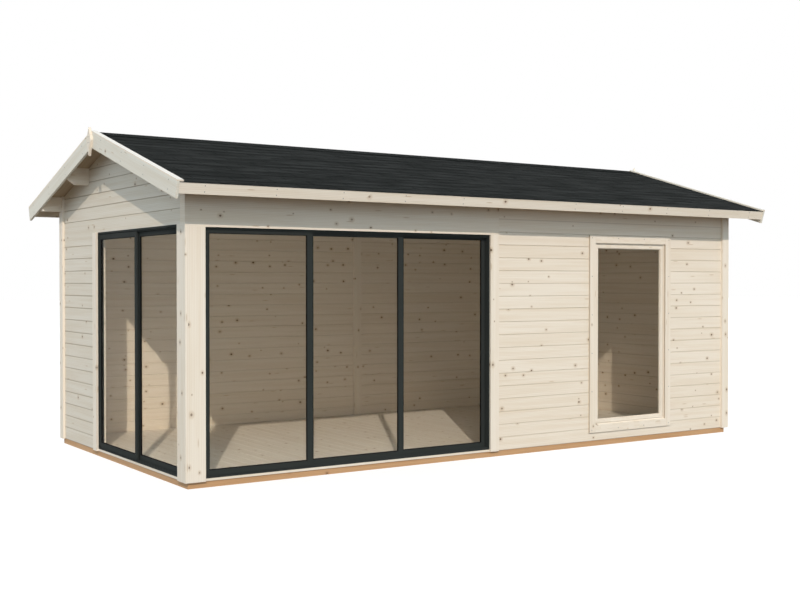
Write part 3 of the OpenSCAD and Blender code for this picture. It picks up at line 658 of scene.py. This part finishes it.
def select_only(piece):
    """Selects one piece and makes it active, in object mode."""
    deselect_all()
    piece.select_set(True)
    bpy.context.view_layer.objects.active = piece


def add_block(name, low, high):
    """A cube of this size at this place, as a start to shape from."""
    deselect_all()
    low, high = Vector(low), Vector(high)
    bpy.ops.mesh.primitive_cube_add(size=1, location=(low + high) / 2, scale=high - low)
    piece = bpy.context.object
    piece.name = piece.data.name = name
    bpy.ops.object.transform_apply(location=True, rotation=True, scale=True)
    return piece


def pick(piece, what, passes):
    """Opens a piece in edit mode and selects the points, edges or faces whose corners pass a test."""
    select_only(piece)
    bpy.ops.object.mode_set(mode="EDIT")
    bpy.ops.mesh.select_mode(type=what)
    bpy.ops.mesh.select_all(action="DESELECT")
    mesh = bmesh.from_edit_mesh(piece.data)
    for element in {"VERT": mesh.verts, "EDGE": mesh.edges, "FACE": mesh.faces}[what]:
        corners = [element.co] if what == "VERT" else [v.co for v in element.verts]
        element.select_set(passes(corners))
    mesh.select_flush_mode()
    bmesh.update_edit_mesh(piece.data)


def same(corners, axis, value=None):
    """Whether all corners lie at one value on an axis."""
    value = corners[0][axis] if value is None else value
    return all(abs(corner[axis] - value) < NEARLY for corner in corners)


def repeat(piece, count, step):
    """Copies a piece along a line with an Array, and applies it."""
    select_only(piece)
    row = piece.modifiers.new("row", "ARRAY")
    row.use_relative_offset, row.use_constant_offset = False, True
    row.constant_offset_displace = step
    row.count = count
    bpy.ops.object.modifier_apply(modifier=row.name)


def trim(piece, point, outward):
    """Cuts off what lies beyond a plane and closes the cut."""
    select_only(piece)
    bpy.ops.object.mode_set(mode="EDIT")
    bpy.ops.mesh.select_all(action="SELECT")
    bpy.ops.mesh.bisect(plane_co=point, plane_no=outward, use_fill=True, clear_outer=True)
    bpy.ops.object.mode_set(mode="OBJECT")


def mirrored(piece, axes):
    """Mirrors a piece across the hut's middle planes with a Mirror, and applies it."""
    select_only(piece)
    other_side = piece.modifiers.new("other_side", "MIRROR")
    other_side.use_axis = axes
    other_side.use_mirror_merge = False
    bpy.ops.object.modifier_apply(modifier=other_side.name)


def join(pieces, name):
    """Makes one piece of several."""
    select_only(pieces[0])
    for piece in pieces[1:]:
        piece.select_set(True)
    bpy.ops.object.join()
    pieces[0].name = pieces[0].data.name = name
    return pieces[0]


def settle(piece, material, body="hut", instead_of=None):
    """Gives a finished piece its material, slot, body and, where it stands for a node, that node."""
    deselect_all()
    piece.data.materials.clear()
    piece.data.materials.append(material)
    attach(piece, body)
    if instead_of:
        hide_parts(instead_of)
    print(f"{piece.name}: {len(piece.data.polygons)} faces")


print("shaping tools ready")

# %% [markdown]
# ## Roof boards
# Under the eaves one looks up at narrow boards that run down the slope, each bevelled along its lower
# edges, so that thin shadows mark the joints. One board is modelled flat, with the ridge at Y = 0: a cube
# at its size, two edges bevelled. An Array makes the row, the last board is cut off at the verge, and the row
# is tipped on to the front slope and mirrored to the back.

# %% Board the roof
DECK_T = 0.019
BOARD_GAP, BOARD_BEVEL = 0.0006, 0.0035
RIDGE_GAP = 0.0003
RIDGE_UNDER = deck_high.z - DECK_T / cos(ROOF_PITCH)
deck_run = (RIDGE_UNDER - deck_low.z) / sin(ROOF_PITCH)


def lay_on_roof(piece):
    """Tips a flat piece on to the front slope, cuts it plumb at the ridge and mirrors it to the back."""
    select_only(piece)
    piece.rotation_euler = (ROOF_PITCH, 0, 0)
    piece.location = (0, 0, RIDGE_UNDER)
    bpy.ops.object.transform_apply(location=True, rotation=True, scale=True)
    trim(piece, (0, -RIDGE_GAP, 0), (0, 1, 0))
    mirrored(piece, (False, True, False))


roof_boards = add_block("roof_boards", (deck_low.x, -deck_run, 0),
                        (deck_low.x + ROOF_BOARD - BOARD_GAP, DECK_T, DECK_T))
pick(roof_boards, "EDGE", lambda corners: same(corners, 2, 0) and same(corners, 0))
bpy.ops.mesh.bevel(offset=BOARD_BEVEL, segments=1, affect="EDGES")
repeat(roof_boards, int((deck_high.x - deck_low.x) / ROOF_BOARD) + 1, (ROOF_BOARD, 0, 0))
trim(roof_boards, deck_high, (1, 0, 0))
lay_on_roof(roof_boards)
settle(roof_boards, roof_boarding, instead_of="roof_deck")

# %% [markdown]
# ## Shingles
# The roofing is laid as courses of bitumen tabs, each course half a tab sideways from the one below.
# A tab is a thin plate with its two lower corners rounded, tilted so that its lower end rests on the
# course below. It reaches up under the next two courses, so that each slit has a tab behind it, and a plain
# strip starts the eave. Two courses make a pair, and Arrays along X and up the slope do the rest.

# %% Lay the shingles
COURSES = 14
TAB_W, TAB_SLIT, TAB_T = 0.333, 0.006, 0.0016
TAB_LAP, TAB_ROUND = 0.02, 0.012
DRIP, FELT_GAP = 0.004, 0.0002

felt_low, felt_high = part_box("roof_felt")
felt_rise = DECK_T + FELT_GAP
eave_run = (RIDGE_UNDER + DECK_T * cos(ROOF_PITCH) - felt_low.z) / sin(ROOF_PITCH)
exposure = (eave_run + DRIP) / COURSES
tab_length = 2 * exposure + TAB_LAP
tab_lift = TAB_T * tab_length / exposure
tab_end = -eave_run - DRIP
tabs = int((felt_high.x - felt_low.x) / TAB_W + 0.5) + 1

shingles = add_block("shingles", (felt_low.x, tab_end, felt_rise),
                     (felt_low.x + TAB_W - TAB_SLIT, tab_end + tab_length, felt_rise + TAB_T))
pick(shingles, "VERT", lambda corners: same(corners, 1, tab_end))
bpy.ops.transform.translate(value=(0, 0, tab_lift))
pick(shingles, "EDGE", lambda corners: same(corners, 1, tab_end) and same(corners, 0))
bpy.ops.mesh.bevel(offset=TAB_ROUND, segments=2, affect="EDGES")
repeat(shingles, tabs, (TAB_W, 0, 0))
repeat(shingles, 2, (-TAB_W / 2, exposure, 0))
repeat(shingles, COURSES // 2, (0, 2 * exposure, 0))
starter = add_block("starter", (felt_low.x, tab_end, felt_rise),
                    (felt_high.x, tab_end + exposure, felt_rise + TAB_T))
shingles = join([shingles, starter], "shingles")
trim(shingles, felt_low, (-1, 0, 0))
trim(shingles, felt_high, (1, 0, 0))
lay_on_roof(shingles)
settle(shingles, roofing, instead_of="roof_felt")

# %% [markdown]
# ## Ridge
# Bent pieces of the same roofing close the ridge, each lapping the last like scales. One half of a piece is
# a thin plate with one end lifted. The mirror that lays it on the back slope makes the bend.

# %% Cap the ridge
CAP_REACH, CAP_T = 0.125, 0.002
CAP_STEP, CAP_LENGTH = 0.24, 0.30

cap_low, cap_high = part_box("ridge_cap")
cap_rise = felt_rise + tab_lift + TAB_T
ridge_caps = add_block("ridge_caps", (cap_low.x, -CAP_REACH, cap_rise),
                       (cap_low.x + CAP_LENGTH, CAP_REACH / 2, cap_rise + CAP_T))
pick(ridge_caps, "EDGE", lambda corners: same(corners, 1, -CAP_REACH) and same(corners, 0))
bpy.ops.mesh.bevel(offset=TAB_ROUND, segments=2, affect="EDGES")
pick(ridge_caps, "VERT", lambda corners: corners[0].x < cap_low.x + CAP_LENGTH / 2)
bpy.ops.transform.translate(value=(0, 0, CAP_T * CAP_LENGTH / CAP_STEP))
repeat(ridge_caps, int((cap_high.x - cap_low.x) / CAP_STEP) + 1, (CAP_STEP, 0, 0))
trim(ridge_caps, cap_high, (1, 0, 0))
lay_on_roof(ridge_caps)
settle(ridge_caps, roofing, instead_of="ridge_cap")

# %% [markdown]
# ## Floor boards
# The floor is boarded across the hut, and has to keep its notches round the posts and door sills. So the
# packed floor's mesh is copied and its loose triangles are merged. Three cuts mark each joint, and pressing
# the middle one down on the top face gives a V groove.

# %% Board the floor
GROOVE_HALF, GROOVE_DEEP = 0.0022, 0.0028


def merged_copy(node, name):
    """A new piece from a copy of a node's mesh, with its loose triangles merged into whole faces."""
    piece = bpy.data.objects.new(name, nodes[node].data.copy())
    bpy.context.scene.collection.objects.link(piece)
    select_only(piece)
    bpy.ops.object.mode_set(mode="EDIT")
    bpy.ops.mesh.select_all(action="SELECT")
    bpy.ops.mesh.remove_doubles(threshold=NEARLY)
    bpy.ops.mesh.dissolve_limited(angle_limit=radians(1))
    bpy.ops.object.mode_set(mode="OBJECT")
    return piece


floor_boards = merged_copy("floor", "floor_boards")
joint_count = int((floor_high.x - floor_low.x) / FLOOR_BOARD)
joints = [floor_low.x + FLOOR_BOARD * n for n in range(1, joint_count + 1)]
select_only(floor_boards)
bpy.ops.object.mode_set(mode="EDIT")
for joint in joints:
    for cut in (joint - GROOVE_HALF, joint, joint + GROOVE_HALF):
        bpy.ops.mesh.select_all(action="SELECT")
        bpy.ops.mesh.bisect(plane_co=(cut, 0, 0), plane_no=(1, 0, 0))
pick(floor_boards, "VERT", lambda corners: same(corners, 2, floor_high.z)
     and any(abs(corners[0].x - joint) < NEARLY for joint in joints))
bpy.ops.transform.translate(value=(0, 0, -GROOVE_DEEP))
settle(floor_boards, floor_boarding, instead_of="floor")

# %% [markdown]
# ## Glazing seals
# A black rubber strip runs round every pane of the doors on both faces, between the glass and the frame,
# and a wooden bead round the window's. Each starts as a plane as large as the opening. An inset leaves a
# narrow border, the middle is deleted, and the border is extruded to its thickness.

# %% Fit the seals
PANE_BITE = 0.0087
SEAL_W, SEAL_T, SEAL_FIT = 0.005, 0.004, 0.0002


def seal_ring(pane, side):
    """One border on the outer (-1) or inner (1) face of a pane."""
    low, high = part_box(pane)
    size = high - low
    thin = min(range(3), key=lambda axis: size[axis])
    outward = Vector([side if axis == thin else 0 for axis in range(3)])
    middle = (low + high) / 2 + outward * (size[thin] / 2 + SEAL_FIT)
    across = size[1 - thin]
    deselect_all()
    bpy.ops.mesh.primitive_plane_add(size=1, location=middle, rotation=(pi / 2, 0, 0 if thin else pi / 2))
    ring = bpy.context.object
    ring.scale = (across - 2 * PANE_BITE, size.z - 2 * PANE_BITE, 1)
    bpy.ops.object.transform_apply(location=True, rotation=True, scale=True)
    bpy.ops.object.mode_set(mode="EDIT")
    bpy.ops.mesh.select_all(action="SELECT")
    bpy.ops.mesh.inset(thickness=SEAL_W)
    bpy.ops.mesh.delete(type="FACE")
    bpy.ops.mesh.select_all(action="SELECT")
    bpy.ops.mesh.extrude_region_move(TRANSFORM_OT_translate={"value": outward * SEAL_T})
    bpy.ops.mesh.select_all(action="SELECT")
    bpy.ops.mesh.normals_make_consistent(inside=False)
    bpy.ops.object.mode_set(mode="OBJECT")
    return ring


GLAZED = {"front_leaf_left_glass": "left_leaf", "front_leaf_middle_glass": "middle_leaf",
          "front_leaf_right_glass": "right_leaf", "gable_leaf_far_glass": "far_leaf",
          "gable_leaf_near_glass": "near_leaf", "window_glass": "hut"}
for pane, body in GLAZED.items():
    seal = join([seal_ring(pane, side) for side in (-1, 1)], pane.replace("glass", "seal"))
    settle(seal, planed_window if pane == "window_glass" else rubber, body=body)

# %% [markdown]
# ## Nails in the roof's trim
# The trim is nailed: two nails across the bargeboards and fascias about every half metre, and four in each
# finial. A head is a short cylinder whose outer face is inset and drawn out a little into a dome. Each row
# is made once and mirrored to the other sides.

# %% Nail the roof's trim
NAIL_R, NAIL_T, NAIL_DOME = 0.0042, 0.0012, 0.0008
NAIL_SIDES, DOME_INSET = 10, 0.45
BARGE_FIRST, BARGE_STEP, BARGE_RISES = 0.25, 0.5, (0.002, -0.068)
FASCIA_FIRST, FASCIA_STEP, FASCIA_RISES = 0.2, 0.58, (0.0, -0.045)
FINIAL_OFF, FINIAL_FIRST, FINIAL_STEP = 0.014, 0.11, 0.05


def nail_row(start, step, count, facing):
    """A row of domed nail heads that face one way."""
    deselect_all()
    facing = Vector(facing).normalized()
    start = Vector(start) + facing * NAIL_T / 3
    bpy.ops.mesh.primitive_cylinder_add(vertices=NAIL_SIDES, radius=NAIL_R, depth=NAIL_T, location=start,
                                        rotation=facing.to_track_quat("Z", "Y").to_euler())
    head = bpy.context.object
    bpy.ops.object.transform_apply(location=True, rotation=True, scale=True)
    pick(head, "FACE", lambda corners: all((corner - start).dot(facing) > 0 for corner in corners))
    bpy.ops.mesh.inset(thickness=NAIL_R * DOME_INSET)
    bpy.ops.transform.translate(value=facing * NAIL_DOME)
    repeat(head, count, step)
    return head


def on_roof(x, run, rise):
    """A point on the front slope: so far down from the ridge, so far above the boards' underside."""
    return Vector((x, -run * cos(ROOF_PITCH) - rise * sin(ROOF_PITCH),
                   RIDGE_UNDER - run * sin(ROOF_PITCH) + rise * cos(ROOF_PITCH)))


steel = powder_coat("galvanised_nail", (0.33, 0.33, 0.32, 1), 0.45)
left_side = (-1, 0, 0)
down_slope = Vector((0, -cos(ROOF_PITCH), -sin(ROOF_PITCH)))
barge_x, fascia_x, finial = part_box("bargeboards")[0].x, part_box("fascias")[0].x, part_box("finials")[0]
rows = [nail_row(on_roof(barge_x, BARGE_FIRST, rise), down_slope * BARGE_STEP, 4, left_side)
        for rise in BARGE_RISES]
rows += [nail_row(on_roof(fascia_x + FASCIA_FIRST, eave_run, rise), (FASCIA_STEP, 0, 0), 5, down_slope)
         for rise in FASCIA_RISES]
rows += [nail_row((finial.x, FINIAL_OFF, finial.z + FINIAL_FIRST), (0, 0, FINIAL_STEP), 2, left_side)]
roof_nails = join(rows, "roof_nails")
mirrored(roof_nails, (True, True, False))
settle(roof_nails, steel)

# %% [markdown]
# ## Nails in the window's casing
# One row goes down each upright casing board, and two nails hold each level one. The same heads serve.

# %% Nail the casing
CASING_NAIL = 0.026
UPRIGHT_NAILS, LEVEL_NAILS = 6, 2

outside = (0, -1, 0)
left, right = casing_low.x + CASING_NAIL, casing_high.x - CASING_NAIL
bottom, top = casing_low.z + CASING_NAIL, casing_high.z - CASING_NAIL
up_step, side_step = (top - bottom) / (UPRIGHT_NAILS - 1), (right - left) / (LEVEL_NAILS + 1)
rows = [nail_row((x, casing_low.y, bottom), (0, 0, up_step), UPRIGHT_NAILS, outside) for x in (left, right)]
rows += [nail_row((left + side_step, casing_low.y, z), (side_step, 0, 0), LEVEL_NAILS, outside)
         for z in (bottom, top)]
casing_nails = join(rows, "casing_nails")
settle(casing_nails, steel)
